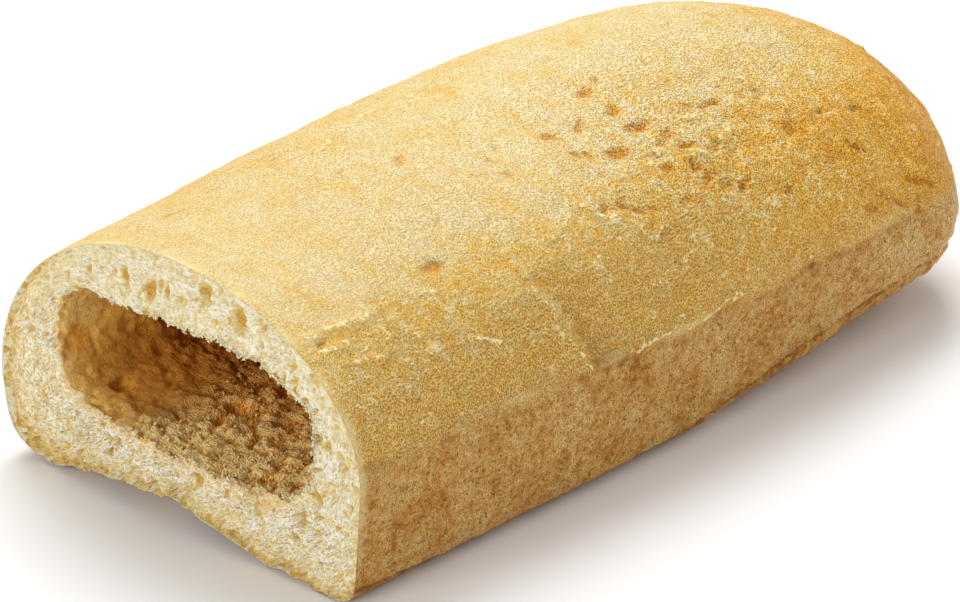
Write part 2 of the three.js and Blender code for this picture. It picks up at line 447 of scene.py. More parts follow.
class Skin:
    """A plain form as vertices and faces, with what each vertex knows of its place."""

    def __init__(self, plan):
        regions, shares, columns = zip(*plan)
        rings = [ring_points(*step) for step in plan]
        sizes = [len(ring) for ring in rings]
        count = sum(sizes)
        numbers = np.split(np.arange(count), np.cumsum(sizes)[:-1])
        self.faces = []
        self.face_region = []
        for before, after, region in zip(numbers[:-1], numbers[1:], regions[1:]):
            made = faces_between(before, after)
            self.faces += made
            self.face_region += [region] * len(made)
        self.points = np.concatenate(rings)
        self.region = np.repeat(regions, sizes)
        self.share = np.repeat(shares, sizes)
        self.angle = np.concatenate(columns)
        self.from_cut = self.points[:, 0] + LENGTH / 2
        rounds = [way_round(ring, angles) for ring, angles in zip(rings, columns)]
        self.flow = np.column_stack([self.from_cut, np.concatenate(rounds), np.zeros(count)])
        self.rise = np.zeros(count)
        self.shift = np.zeros((count, 3))
        self.marks = {}

    def mark(self, on, **marks):
        """Keeps values for some vertices, each under a name."""
        for name, values in marks.items():
            self.marks.setdefault(name, np.zeros(len(self.points)))[on] = values

    def make_mesh(self, name):
        """A mesh of the plain form, whose normals the relief follows."""
        self.mesh = bpy.data.meshes.new(name)
        self.mesh.from_pydata((self.points * MM).tolist(), [], self.faces)
        self.mesh.update()
        self.normal = vertex_normals(self.mesh)

    def apply_relief(self):
        """Moves the mesh to the relief and stores the marks on it."""
        self.points = self.points + self.rise[:, None] * self.normal + self.shift
        self.points[:, 2] = np.maximum(self.points[:, 2], 0)
        self.mesh.vertices.foreach_set("co", (self.points * MM).astype(np.float32).ravel())
        store_marks(self.mesh, self.flow, self.marks)
        self.mesh.polygons.foreach_set("use_smooth", np.array(self.face_region) != LINING)
        self.mesh.update()
        self.normal = vertex_normals(self.mesh)


def vertex_normals(mesh):
    normals = np.empty(3 * len(mesh.vertices), np.float32)
    mesh.vertices.foreach_get("normal", normals)
    return normals.reshape(-1, 3).astype(float)


def store_marks(mesh, flow, marks):
    """Stores places on the unrolled skin, and marks, for the materials to read."""
    attribute = mesh.attributes.new("flow", "FLOAT_VECTOR", "POINT")
    attribute.data.foreach_set("vector", flow.astype(np.float32).ravel())
    for name, values in marks.items():
        attribute = mesh.attributes.new(name, "FLOAT", "POINT")
        attribute.data.foreach_set("value", values.astype(np.float32))


def add_piece(mesh, replaced=True):
    """Puts a mesh in the scene as a piece of the bun."""
    piece = bpy.data.objects.new(mesh.name, mesh)
    bpy.context.scene.collection.objects.link(piece)
    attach(piece, "root")
    if replaced:
        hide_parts("bun")


def length_squared(vectors):
    return np.einsum("ij,ij->i", vectors, vectors)


def bowl(gaps):
    """Depth of a round bowl: 1 in its middle, 0 from its rim on."""
    return np.sqrt(np.clip(1 - length_squared(gaps), 0, 1))


def line_nearness(places, line, half_width):
    """1 on a line of places and falling off beside it."""
    nearest = np.full(len(places), np.inf)
    for start, end in zip(line[:-1], line[1:]):
        along = end - start
        share = np.clip((places - start) @ along / (along @ along), 0, 1)
        nearest = np.minimum(nearest, length_squared(places - start - share[:, None] * along))
    return np.exp(-nearest / half_width ** 2)


def spot_nearness(places, spot, half_widths, heading):
    """1 in the middle of a turned oval spot, falling to 0 round it."""
    gap = places - spot
    along = gap @ (math.cos(heading), math.sin(heading)) / half_widths[0]
    across = gap @ (-math.sin(heading), math.cos(heading)) / half_widths[1]
    return ease(along ** 2 + across ** 2, 2.4, 0.0)


def near_side(y):
    return ease(y, 6, -14)


def blistered(x, y):
    """1 in the middle of the blistered patch of the dome."""
    return bell(x, 78, 18) * bell(y, -22, 11)


def dome_toast(x, y, up):
    """How browned the dome is: more on the shoulders, the far top, the nose and two near spots."""
    shoulder = 0.16 * ease(up, 0.93, 0.82) + 0.13 * ease(up, 0.8, 0.2)
    toast = 0.19 + shoulder * mix(0.4, 1.0, near_side(y)) + 0.31 * ease(x, 104, 134)
    toast += 0.07 * ease(y, 2, 18) * (1 - 0.4 * ease(x, 60, 90))
    toast += 0.05 * blistered(x, y)
    toast += 0.15 * bell(x, 104, 12) * bell(y, -29, 8)
    toast += 0.04 * ease(x, 74, 92) * ease(y, -6, -18) * ease(up, 0.4, 0.7)
    return toast


def grain_and_glint_strength(x, y, up, toast):
    """Strength of the grain and of its painted glints: less by the cut, more on the near half and where it
    is browned.
    """
    coarse = ease(x, 45, 82) * ease(up, 0.3, 0.7) * ease(y, 8, -12)
    grain = mix(mix(0.55, 0.82, ease(x, 5, 30)), 1.55, coarse)
    return np.maximum(grain, 1.1 * ease(toast, 0.25, 0.4))


def painted_near_shade(x, y, up):
    """How much painted shade darkens the crust and makes it duller: on the near side and its shoulder, where
    less light falls, and a little all over by the cut.
    """
    side = ease(up, 0.42, 0.12) * mix(1.0, 0.6, ease(x, 45, 65))
    shoulder = 0.6 * ease(up, 0.92, 0.6) * (1 - ease(x, 60, 90))
    by_cut = 0.22 * (1 - ease(x, 20, 70))
    return np.maximum(np.maximum(side, shoulder) * near_side(y), by_cut)


class CrustMarks:
    """Dimples, wrinkles, ridges and cracks: how far they raise the crust, where they are, and where painted
    shade darkens the cracks.
    """

    def __init__(self, skin, on, flaky):
        points = skin.points[on]
        self.places = np.column_stack([skin.from_cut[on], points[:, 1:]])
        self.flow = skin.flow[on, :2]
        self.dome = np.sin(skin.angle[on]) >= 0
        self.crooked = self.flow + 0.7 * wander(points, 3.5, (21, 22))
        self.crooked += 0.6 * wander(points, 1.1, (23, 24))
        self.rise, self.dent, self.ridge, self.crack_shade = np.zeros((4, len(points)))
        rng = np.random.default_rng(11)
        for spot in DIMPLES:
            self.add_dimple(rng, self.flow_at(spot), **SHOWN_DIMPLE)
        for number in rng.choice(np.flatnonzero(self.dome), DIMPLE_COUNT):
            self.add_dimple(rng, self.flow[number], **STREWN_DIMPLE)
        chance = np.where(self.dome, flaky, 0)
        for number in rng.choice(len(points), WRINKLE_COUNT, p=chance / chance.sum()):
            self.add_wrinkle(rng, self.flow[number])
        for line in RIDGES:
            hit = line_nearness(self.crooked, [self.flow_at(spot) for spot in line], 0.65)
            self.rise += RIDGE_HEIGHT * hit
            self.ridge = np.maximum(self.ridge, hit)
        for line in CRACKS:
            hit = line_nearness(self.crooked, [self.flow_at(spot) for spot in line], 0.5)
            self.rise -= CRACK_DEPTH * hit
            self.crack_shade += hit

    def flow_at(self, spot):
        """Place on the unrolled crust nearest to a spot: x from the cut and y on the dome, or x, y and z."""
        among = self.dome if len(spot) == 2 else np.ones_like(self.dome)
        gaps = self.places[among, :len(spot)] - np.array(spot)
        return self.flow[among][np.argmin(length_squared(gaps))]

    def add_dimple(self, rng, place, lengths, widths, depths, shades):
        half_widths = (rng.uniform(*lengths), rng.uniform(*widths))
        hit = spot_nearness(self.crooked, place, half_widths, rng.normal(0.2, 0.5))
        self.rise -= rng.uniform(*depths) * hit
        self.dent = np.maximum(self.dent, rng.uniform(*shades) * hit)

    def add_wrinkle(self, rng, place):
        heading = rng.normal(0.0, 0.6)
        step = np.array([math.cos(heading), math.sin(heading)]) * rng.uniform(0.4, 1.4)
        turn = rng.normal(0.0, 0.5, 2)
        hit = line_nearness(self.crooked, [place - step - turn, place, place + step - turn], 0.6)
        self.rise += WRINKLE_HEIGHT * hit
        self.ridge = np.maximum(self.ridge, rng.uniform(0.7, 1.0) * hit)


def crust_relief(skin):
    """Raises and sinks the crust, and marks how each vertex looks."""
    on = skin.region == CRUST
    p = skin.points[on]
    x, y, z = skin.from_cut[on], p[:, 1], p[:, 2]
    up = skin.normal[on, 2]
    flow = skin.flow[on]
    nose = ease(x, 84, 134)
    near_band = bell(y, -28, 7) * (1 - ease(x, 95, 120))
    flaky = np.clip(0.15 + blistered(x, y) + 0.7 * near_band + 0.4 * nose, 0, 1)
    toast = dome_toast(x, y, up)
    grain = grain_and_glint_strength(x, y, up, toast)

    rise = waves(p, CRUST_WAVES, 1) + 0.05 * noise(flow / (1.1, 5.0, 1.0), 1.0, 5)
    rise += blistered(x, y) * waves(p, BLISTER_WAVES, 6)
    rise += near_band * waves(p, SHOULDER_WAVES, 8)
    side_folds = near_side(y) * ease(up, 0.95, 0.7) * ease(z, 17, 22)
    rise += 0.3 * side_folds * noise(flow / (5.0, 16.0, 1.0), 1.0, 41)

    # The side wall below a crease: browned, with a pale ledge over it and a painted shadow under the ledge,
    # painted shade in the shoulder fold, and gnarled towards the nose
    above = z - mix(19.0, 12.5, ease(y, -16, 16)) - 0.8 * noise(p, 9, 31)
    soft = mix(2.6, 0.8, ease(x, 20, 46))
    wall = ease((0.8 * noise(p, 2.8, 32) - above) / soft, -1, 1)
    gnarled = wall * ease(x, 70, 105)
    body = 1 - ease(x, 100, 116)
    rise -= 0.2 * bell(above, -1.4, 1.6) * body
    rise += wall * waves(p, WALL_WAVES, 34) + gnarled * waves(p, NOSE_WALL_WAVES, 42)
    pale = 0.3 * bell(above, 0.6, 0.7) * body * ease(noise(p, 6, 33), -0.1, 0.5)
    toast = mix(toast, 0.48 - 0.34 * nose, wall) + 0.2 * gnarled * noise(p, 2.4, 44)
    # A dark line under the pale ledge: painted shadow
    toast += 0.22 * bell(above, -0.2, 0.5) * body * ease(noise(p, 7, 39), -0.5, 0.3)
    # Darker down the shoulder fold: painted shade
    toast += 0.3 * (fold_sink(x, skin.angle[on]) / FOLD_DEPTH) ** 6

    # The sunk seam low on the wall and the lip below it. The relief fades towards the base
    seam_height = np.interp(x, SEAM_X, SEAM_Z) + waves(p, SEAM_WAVES, 36)
    on_wall = ease(-np.sin(skin.angle[on]), 0.02, 0.1)
    seam_strength = mix(0.35, 1.0, ease(noise(p, 11, 38), -0.7, 0.2))
    seam = bell(z, seam_height, 0.35) * on_wall * seam_strength
    lip = ease(seam_height - z, -0.1, 0.7) * on_wall
    rise = rise * mix(0.25, 1.0, ease(z, 0, 3)) - 0.45 * seam
    toast += 0.6 * seam + 0.15 * lip

    # A pale, broken line along the edge of the cut: a painted highlight on the edge
    edge = bell(x, 0, 1.1) * ease(noise(p, 4, 40), -0.7, 0.1)
    pale += edge * mix(0.4, 0.7, ease(z, 10, 22))

    marks = CrustMarks(skin, on, flaky)
    skin.rise[on] = (rise + marks.rise) * ease(x, 0, 3)
    skin.mark(
        on,
        # the cracks are painted darker: painted shade in them
        toast=toast + 0.25 * marks.crack_shade,
        pale=np.clip(pale, 0, 1),
        wall=wall,
        grain=mix(grain, 0.75, wall),
        flaky=flaky * (1 - wall),
        dent=marks.dent,
        # painted shade on the near side and its shoulder
        near_shade=painted_near_shade(x, y, up),
        ridge=marks.ridge,
    )


def turned_in(skin, on):
    """How far vertices have turned from the cut face into the hollow."""
    return ease(skin.from_cut[on] + 0.5 * noise(skin.points[on], 2.0, 64), 0.1, 1.5)


def face_width(angles):
    """Width of the cut face, from the crust to the hollow's mouth."""
    return np.linalg.norm(crust_form(0.0, angles) - hollow_form(0.0, angles), axis=1)


def cell_web(points, size, seed, steepness):
    """Cells with a thin web between them: 0 on the web, 1 in a cell."""
    return np.minimum(1, steepness * np.abs(noise(points, size, seed)))


def cut_relief(skin):
    """Tears the cut face: a web of fibres round small cells, larger pores and spilled crumb."""
    on = skin.region == CUT
    p = skin.points[on]
    y, z = p[:, 1], p[:, 2]
    across = face_width(skin.angle[on])
    from_crust = skin.share[on] * across
    inside_edge = ease(from_crust, 0.0, 0.8)
    open_crumb = ease(z, 31, 18)
    open_crumb *= 1 - 0.6 * ease(y, -16, -24) * ease(z, 7, 13)
    fibres = p * (1.0, 1.4, 0.8)
    coarse_cells = cell_web(fibres, 2.0, 54, 2.2)
    fine_cells = cell_web(fibres, 0.9, 55, 2.2)
    sink = 0.25 * noise(p, 5.0, 53) + 0.4 * coarse_cells + 0.35 * fine_cells + 0.16 * noise(p, 0.5, 56)
    pit = 0.5 * coarse_cells * fine_cells
    crooked = p[:, 1:] + 0.45 * wander(p, 1.3, (51, 52))
    rng = np.random.default_rng(12)
    pores = list(FACE_PORES)
    for number in rng.choice(len(p), PORE_COUNT):
        pores.append((y[number], z[number], 0.3 + 0.5 * rng.random() ** 3))
    for pore_y, pore_z, half_width in pores:
        half_widths = (half_width * rng.uniform(0.5, 0.9), half_width * rng.uniform(0.7, 1.1))
        inside = bowl((crooked - (pore_y, pore_z)) / half_widths)
        pit = np.maximum(pit, inside * min(1.0, 0.7 + 0.3 * half_width))
        sink += PORE_DEPTH * half_width * inside
    skin.shift[on, 0] += sink * inside_edge * mix(0.9, 1.6, open_crumb)
    skin.mark(on, pit=pit * inside_edge, open=open_crumb)
    mark_edge(skin, on, from_crust)
    unroll_cut(skin, on, across - from_crust)
    spill_crumb(skin, on, across - from_crust)


def mark_edge(skin, on, from_crust):
    """Marks the golden edge of the cut face, wider low down and on the far side."""
    y, z = skin.points[on, 1], skin.points[on, 2]
    low = ease(z, 10, 2)
    far = ease(y, 14, 30)
    golden = np.maximum(np.maximum(low, far), 0.6 * ease(y, -24, -31))
    edge = mix(0.6, 1.0, golden) * np.exp(-from_crust / mix(0.7, 2.2, golden)) + 0.2 * low + 0.26 * far
    skin.mark(on, edge=np.clip(edge, 0, 1))


def unroll_cut(skin, on, to_mouth):
    """Places of the cut face on the unrolled crumb, on from the hollow's."""
    mouth = skin.region == HOLLOW
    mouth &= skin.share == skin.share[mouth].min()
    skin.flow[on, 0] = -to_mouth
    skin.flow[on, 1] = np.interp(skin.angle[on], skin.angle[mouth], skin.flow[mouth, 1])


def spill_crumb(skin, on, to_mouth):
    """Marks where the cut face looks like the hollow: at its mouth, where low down the hollow's colour is
    painted warm shade, and where crumb spills out.
    """
    p = skin.points[on]
    y, z = p[:, 1], p[:, 2]
    # Painted warm shade low along the mouth's rim
    low_rim_shade = bell(to_mouth, 0, 1.3) * ease(z, 17, 12)
    spill = bell(y, -13, 6) * ease(z + noise(p, 1.6, 57), 5.8, 8.2)
    spill *= ease(z, 14, 11) * ease(noise(p, 1.3, 58), -0.6, 0.2)
    skin.shift[on, 0] += spill * (1.2 + 0.9 * noise(p, 0.9, 59))
    turned = turned_in(skin, on) * ease(to_mouth, 1.6, 0.4)
    hollow = np.maximum(turned, np.maximum(0.6 * low_rim_shade, 0.85 * spill))
    skin.mark(on, hollow=hollow, shade=0.35 * spill)


def hollow_relief(skin):
    """Clumps the hollow's torn wall, less on the far side by the mouth, which has two dents."""
    on = skin.region == HOLLOW
    p = skin.points[on]
    y, z = p[:, 1], p[:, 2]
    depth = skin.from_cut[on]
    along = skin.share[on] * HOLLOW_DEPTH
    end = ease(depth, HOLLOW_DEPTH - 1, HOLLOW_DEPTH - 8)
    smooth = ease(y, 7, 16) * ease(depth, 30, 8)
    rough = 1 - 0.68 * smooth
    clumps = 0.55 * cell_web(p, 2.3, 62, 2) + 0.45 * cell_web(p, 1.2, 63, 2) - 0.5
    rise = 0.5 * noise(p, 4.0, 61) + 1.4 * clumps + 0.25 * noise(p, 0.7, 65)
    pit = np.clip(0.4 - 1.3 * clumps, 0, 1)
    rng = np.random.default_rng(13)
    for number in rng.choice(np.flatnonzero(depth < SEEN_DEPTH), HOLLOW_PORE_COUNT):
        half_width = 0.6 + 1.0 * rng.random() ** 2
        inside = bowl((p - p[number] + 0.4 * clumps[:, None]) / half_width)
        pit = np.maximum(pit, inside)
        rise -= HOLLOW_PORE_DEPTH * half_width * inside
    rise *= rough
    pit *= rough
    place = np.column_stack([depth, y, z]) + wander(p, 1.7, (66, 67, 68))
    for spot, half_widths, sink in WALL_DENTS:
        inside = ease(length_squared((place - spot) / half_widths), 1.3, 0.0)
        rise -= sink * inside
        pit = np.maximum(pit, inside)
    skin.rise[on] = rise * ease(along, 0.0, 2.5) * end
    # Painted shade: darker further into the hollow and on its far side, and painted light through the thin
    # roof, lighter near it
    shaded_depth = depth - 0.8 * np.clip(z - 20, -5, 10) + 6 * ease(y, 8, 20)
    depth_shade = ease(shaded_depth, 8.0, 34.0)
    # Painted shade low on the far wall
    low_far = ease(z, 19, 13) * ease(y, 4, 13) * ease(depth, 2.5, 7)
    skin.mark(on, pit=pit, hollow=turned_in(skin, on), smooth=smooth, depth_shade=depth_shade, shade=low_far)


def mouth_nearness(skin, face_reach, hollow_reach):
    """1 along the hollow's mouth, falling off over the cut face and into the hollow."""
    near = np.zeros(len(skin.points))
    cut = skin.region == CUT
    hollow = skin.region == HOLLOW
    near[cut] = bell((1 - skin.share[cut]) * face_width(skin.angle[cut]), 0, face_reach)
    near[hollow] = bell(skin.share[hollow] * HOLLOW_DEPTH, 0, hollow_reach)
    return near


def tear_mouth(skin):
    """Torn teeth along the hollow's mouth, a near rim that leans in and a roof that sags."""
    near = mouth_nearness(skin, **RIM_REACH)
    wide = mouth_nearness(skin, **LOOSE_REACH)
    mouth = hollow_form(0.0, skin.angle)
    y, z = mouth[:, 1], mouth[:, 2]
    teeth = 1.3 * np.clip(noise(mouth, 0.8, 71), -0.2, 1) + 0.5 * noise(mouth, 2.6, 72)
    teeth *= mix(1.0, 0.5, ease(y, 14, 22))
    teeth += 0.7 * ease(z, 26, 30)
    inward = inset(mouth, 1.0) - mouth
    skin.shift += (teeth * near)[:, None] * inward
    skin.shift[:, 0] += 0.6 * near * noise(mouth, 1.1, 73)
    skin.shift[:, 1] += NEAR_LEAN * wide * ease(y, -13, -22) * ease(z, 11, 15)
    skin.shift[:, 2] -= ROOF_SAG * wide * ease(z, 21, 29) * mix(1.0, 0.2, ease(y, 12, 19))


def fleck_corners(skin, rng, numbers, lengths, widths, tilts):
    """Corners of torn bits of crumb that lie on the skin or stand out of it."""
    count = len(numbers)
    out = skin.normal[numbers]
    along = np.cross(out, rng.normal(size=(count, 3)))
    along /= np.linalg.norm(along, axis=1)[:, None]
    tilt = np.radians(rng.uniform(*tilts, count))[:, None]
    first = along * np.cos(tilt) + out * np.sin(tilt)
    second = np.cross(out, along)
    third = np.cross(first, second)
    length = rng.uniform(*lengths, count)[:, None] / 2
    width = rng.uniform(*widths, count)[:, None] / 2
    centre = skin.points[numbers] + first * length * 0.5 * np.sin(tilt)
    corners = []
    for axis, size in ((first, length), (second, width), (third, width)):
        for sign in (1, -1):
            corners.append(centre + sign * axis * size * rng.uniform(0.6, 1.2, (count, 1)))
    return np.stack(corners, axis=1).reshape(-1, 3)


def fleck_faces(corner_count):
    """Faces of flecks with their corners in opposite pairs, eight for each."""
    faces = []
    for start in range(0, corner_count, FLECK_CORNERS):
        for second, third in ((2, 4), (4, 3), (3, 5), (5, 2)):
            faces.append((start, start + second, start + third))
            faces.append((start + 1, start + third, start + second))
    return faces


def make_flecks(skin, material):
    """Torn bits of crumb on the mouth's rim and the hollow's rough wall and floor."""
    rng = np.random.default_rng(17)
    hollow = skin.region == HOLLOW
    sine = np.sin(skin.angle)
    rim = (skin.region == CUT) | hollow
    rim &= (mouth_nearness(skin, **RIM_REACH) > 0.5) & (skin.points[:, 1] < 16)
    seen = hollow & (skin.from_cut < SEEN_DEPTH) & (skin.marks["smooth"] < 0.15)
    floor = seen & (sine < -0.3)
    wall = seen & (sine >= -0.3)
    groups = [
        (rim, 700, (0.4, 0.8), (0.3, 0.5), (0, 80)),
        (floor, 1500, (0.4, 0.9), (0.35, 0.65), (0, 80)),
        (wall, 500, (0.35, 0.6), (0.3, 0.55), (0, 60)),
    ]
    points, sources = [], []
    for on, count, lengths, widths, tilts in groups:
        numbers = rng.choice(np.flatnonzero(on), count)
        points.append(fleck_corners(skin, rng, numbers, lengths, widths, tilts))
        sources.append(np.repeat(numbers, FLECK_CORNERS))
    points = np.concatenate(points)
    sources = np.concatenate(sources)
    mesh = bpy.data.meshes.new("torn_flecks")
    mesh.from_pydata((points * MM).tolist(), [], fleck_faces(len(points)))
    # Flecks low down take the hollow's colour: painted warm shade
    low_warm_shade = 0.5 * ease(skin.points[:, 2], 20, 14)
    tints = rng.uniform(0.2, 1.0, len(points) // FLECK_CORNERS)
    store_marks(mesh, skin.flow[sources], {
        "edge": skin.marks["edge"][sources] * 0.6,
        "hollow": np.maximum(skin.marks["hollow"], low_warm_shade)[sources],
        "depth_shade": skin.marks["depth_shade"][sources],
        "pit": skin.marks["pit"][sources] * 0.5,
        "fleck": np.repeat(tints, FLECK_CORNERS),
    })
    mesh.materials.append(material)
    add_piece(mesh, replaced=False)


def is_socket(value):
    return isinstance(value, bpy.types.NodeSocket)


def opaque(colour):
    return colour if is_socket(colour) else (*colour, 1)


def node(tree, kind, inputs=None, **settings):
    """Adds a shader node, sets its properties, and sets or links its inputs."""
    made = tree.nodes.new(kind)
    for name, value in settings.items():
        setattr(made, name, value)
    for name, value in (inputs or {}).items():
        if is_socket(value):
            tree.links.new(value, made.inputs[name])
        else:
            made.inputs[name].default_value = value
    return made


def math_node(operation, *values):
    """One step of arithmetic on values, of which the first is a socket."""
    tree = values[0].id_data
    return node(tree, "ShaderNodeMath", dict(enumerate(values)), operation=operation).outputs[0]


def mark(tree, name):
    """A value stored on the mesh."""
    return node(tree, "ShaderNodeAttribute", attribute_name=name).outputs["Fac"]


def stretched(vector, scale):
    """A vector stretched by three factors."""
    return node(vector.id_data, "ShaderNodeMapping", {"Vector": vector, "Scale": scale}).outputs["Vector"]


def object_place(tree):
    return node(tree, "ShaderNodeTexCoord").outputs["Object"]


def flow_place(tree, along, across):
    """Place on the unrolled skin, stretched along the loaf and round it."""
    flow = node(tree, "ShaderNodeAttribute", attribute_name="flow").outputs["Vector"]
    return stretched(flow, (along, across, 1))


def speckle(vector, scale, detail):
    """Noise from 0 to 1."""
    inputs = {"Vector": vector, "Scale": scale, "Detail": detail, "Roughness": 0.6}
    return node(vector.id_data, "ShaderNodeTexNoise", inputs).outputs["Fac"]


def flow_speckle(tree, along, across, detail):
    """Noise from 0 to 1 on the unrolled skin."""
    return speckle(flow_place(tree, along, across), 1.0, detail)


def add_part(base, value, amount, middle=0.5):
    """base plus amount times how far a value is from its middle."""
    part = math_node("MULTIPLY_ADD", value, amount, -middle * amount)
    return math_node("ADD", part, base)


def add_parts(base, *parts):
    """base plus several such parts."""
    for part in parts:
        base = add_part(base, *part)
    return base


def times(first, second):
    return math_node("MULTIPLY", first, second)


def larger(first, second):
    return math_node("MAXIMUM", first, second)


def between(value, low, high):
    """0 to 1 as a value goes from low to high."""
    inputs = {"Value": value, "From Min": low, "From Max": high}
    return node(value.id_data, "ShaderNodeMapRange", inputs).outputs["Result"]


def off_middle(value):
    """How far a 0 to 1 value is from its middle."""
    return math_node("ABSOLUTE", math_node("SUBTRACT", value, 0.5))


def ramp(value, stops):
    """A colour from a value, through (position, colour) stops."""
    made = node(value.id_data, "ShaderNodeValToRGB", {"Fac": value})
    elements = made.color_ramp.elements
    while len(elements) < len(stops):
        elements.new(0.5)
    for element, (position, colour) in zip(elements, stops):
        element.position = position
        element.color = opaque(colour)
    return made.outputs["Color"]


def blend(first, second, share, way="MIX"):
    """A colour between two colours. The first colour or the share is a socket."""
    tree = (share if is_socket(share) else first).id_data
    inputs = {0: share, 6: opaque(first), 7: opaque(second)}
    return node(tree, "ShaderNodeMix", inputs, data_type="RGBA", blend_type=way).outputs[2]


def tint(colour, factors, share):
    """A colour multiplied by factors, in part."""
    return blend(colour, factors, share, "MULTIPLY")


def new_material(name):
    material = bpy.data.materials.new(name)
    material.use_nodes = True
    return material, material.node_tree, material.node_tree.nodes["Principled BSDF"]


def set_shader(tree, shader, colour, bump, settings):
    """Links a colour and a bump to a shader, and sets its other inputs."""
    tree.links.new(colour, shader.inputs["Base Color"])
    tree.links.new(node(tree, "ShaderNodeBump", bump).outputs["Normal"], shader.inputs["Normal"])
    for name, value in settings.items():
        shader.inputs[name].default_value = value


# Colours of the crust: the dome and the wall from pale to browned, and what lies on them
DOME_BROWNS = [
    (0.0, (0.81, 0.70, 0.43)),
    (0.2, (0.80, 0.625, 0.28)),
    (0.35, (0.80, 0.53, 0.138)),
    (0.55, (0.775, 0.415, 0.05)),
    (0.75, (0.63, 0.285, 0.023)),
    (1.0, (0.42, 0.15, 0.012)),
]
WALL_BROWNS = [
    (0.1, (0.66, 0.425, 0.15)),
    (0.45, (0.60, 0.335, 0.088)),
    (0.75, (0.50, 0.23, 0.038)),
    (1.0, (0.33, 0.125, 0.016)),
]
WALL_PORE = (0.28, 0.13, 0.03)
# Colour of the painted shade on the near side and its shoulder
NEAR_SHADE = (0.575, 0.362, 0.112)
DENT = (0.66, 0.29, 0.016)
DENT_MIDDLE = (0.44, 0.17, 0.01)
# Colour of pale flakes, also used for the painted highlight along the cut's edge
FLAKE_AND_EDGE_HIGHLIGHT = (1.0, 0.84, 0.42)
GRAIN_DARK = (0.56, 0.35, 0.11)  # factors
# Factors of the painted glints on the light side of the grain
PAINTED_GLINT = (1.34, 1.54, 1.95)
CRUST_SHADER = {
    "Roughness": 0.5,
    "Specular IOR Level": 0.12,
    "Subsurface Weight": 0.08,
    "Subsurface Radius": (1.0, 0.5, 0.2),
    "Subsurface Scale": 0.001,
}
CRUST_BUMP = {"Strength": 0.8, "Distance": 0.0006}


def wrinkle_lines(tree):
    """Thin broken lines where the crust's skin has wrinkled: 1 on a line, 0 beside it."""
    inputs = {"Vector": flow_place(tree, 0.22, 0.5), "Scale": 1.0, "Detail": 3.0, "Distortion": 1.0}
    off = off_middle(node(tree, "ShaderNodeTexNoise", inputs).outputs["Fac"])
    places = between(flow_speckle(tree, 0.3, 0.4, 2.0), 0.48, 0.56)
    return times(between(off, 0.024, 0.008), places)


def grain_and_painted_glints(tree):
    """Fine grain and thin threads of the crust: painted glints above 0, and the crust's own darker grain
    below.
    """
    thread = between(off_middle(speckle(object_place(tree), 1700.0, 1.0)), 0.06, 0.0)
    fine = flow_speckle(tree, 6.4, 3.6, 0.0)
    grain = add_parts(0.0, (thread, 1.0, 0.3), (fine, 2.8))
    return times(grain, mark(tree, "grain"))


def dome_colour(tree, freckle, streak, patches):
    """Colour of the dome: blotched, freckled and streaked, with painted shade in places."""
    blotch = flow_speckle(tree, 0.2, 0.12, 3.0)
    parts = [(blotch, 0.5), (freckle, 0.36), (streak, 0.3), (patches, 1.0, 0.0)]
    brown = add_parts(mark(tree, "toast"), *parts)
    return blend(ramp(brown, DOME_BROWNS), NEAR_SHADE, times(mark(tree, "near_shade"), 0.75))


def wall_colour(tree, pores):
    """Colour of the side wall: clotted, with small dark pores."""
    clot = speckle(object_place(tree), 700.0, 2.0)
    wide_clot = speckle(object_place(tree), 150.0, 2.0)
    brown = add_parts(mark(tree, "toast"), (clot, 1.7), (wide_clot, 1.2))
    return blend(ramp(brown, WALL_BROWNS), WALL_PORE, times(pores, 0.75))


def crust_material():
    """Golden crust: streaked, with a grain of painted glints and pale wrinkles, and a tan side wall."""
    material, tree, shader = new_material("golden_crust")
    wall = mark(tree, "wall")
    flaky = mark(tree, "flaky")
    grain = grain_and_painted_glints(tree)
    streak = flow_speckle(tree, 2.4, 0.3, 2.0)
    freckle = flow_speckle(tree, 0.8, 0.5, 2.0)
    patches = times(add_part(0.0, flow_speckle(tree, 0.55, 0.38, 3.0), 0.75), flaky)
    frayed = speckle(object_place(tree), 1400.0, 2.0)
    pore_noise = speckle(stretched(object_place(tree), (1.0, 1.0, 0.75)), 2100.0, 1.0)
    pores = between(pore_noise, 0.39, 0.32)
    dent = times(mark(tree, "dent"), add_part(1.0, frayed, 1.6))
    dent = between(dent, 0.06, 0.6)
    dent_middle = between(add_part(mark(tree, "dent"), frayed, 0.9), 0.6, 0.95)
    ridge = between(add_part(mark(tree, "ridge"), frayed, 1.6), 0.84, 0.98)
    ridge = larger(ridge, times(wrinkle_lines(tree), flaky))

    colour = blend(dome_colour(tree, freckle, streak, patches), wall_colour(tree, pores), wall)
    colour = blend(colour, DENT, times(dent, 0.8))
    colour = blend(colour, DENT_MIDDLE, times(dent_middle, 0.65))
    colour = tint(colour, GRAIN_DARK, between(grain, 0.0, -0.9))
    # painted glints where the grain is light
    colour = tint(colour, PAINTED_GLINT, between(grain, 0.0, 0.9))
    # pale flakes and ridges, and the painted highlight along the cut's edge
    paleness_and_highlight = larger(mark(tree, "pale"), ridge)
    colour = blend(colour, FLAKE_AND_EDGE_HIGHLIGHT, times(paleness_and_highlight, 0.9))

    height = add_parts(
        times(grain, 0.04),
        (streak, 0.4),
        (freckle, 0.7),
        (patches, -1.2, 0.0),
        (ridge, 0.2),
        (times(frayed, flaky), 0.9, 0.0),
        (dent, -0.4),
        (times(pores, wall), -0.3),
    )
    set_shader(tree, shader, colour, {"Height": height, **CRUST_BUMP}, CRUST_SHADER)
    return material


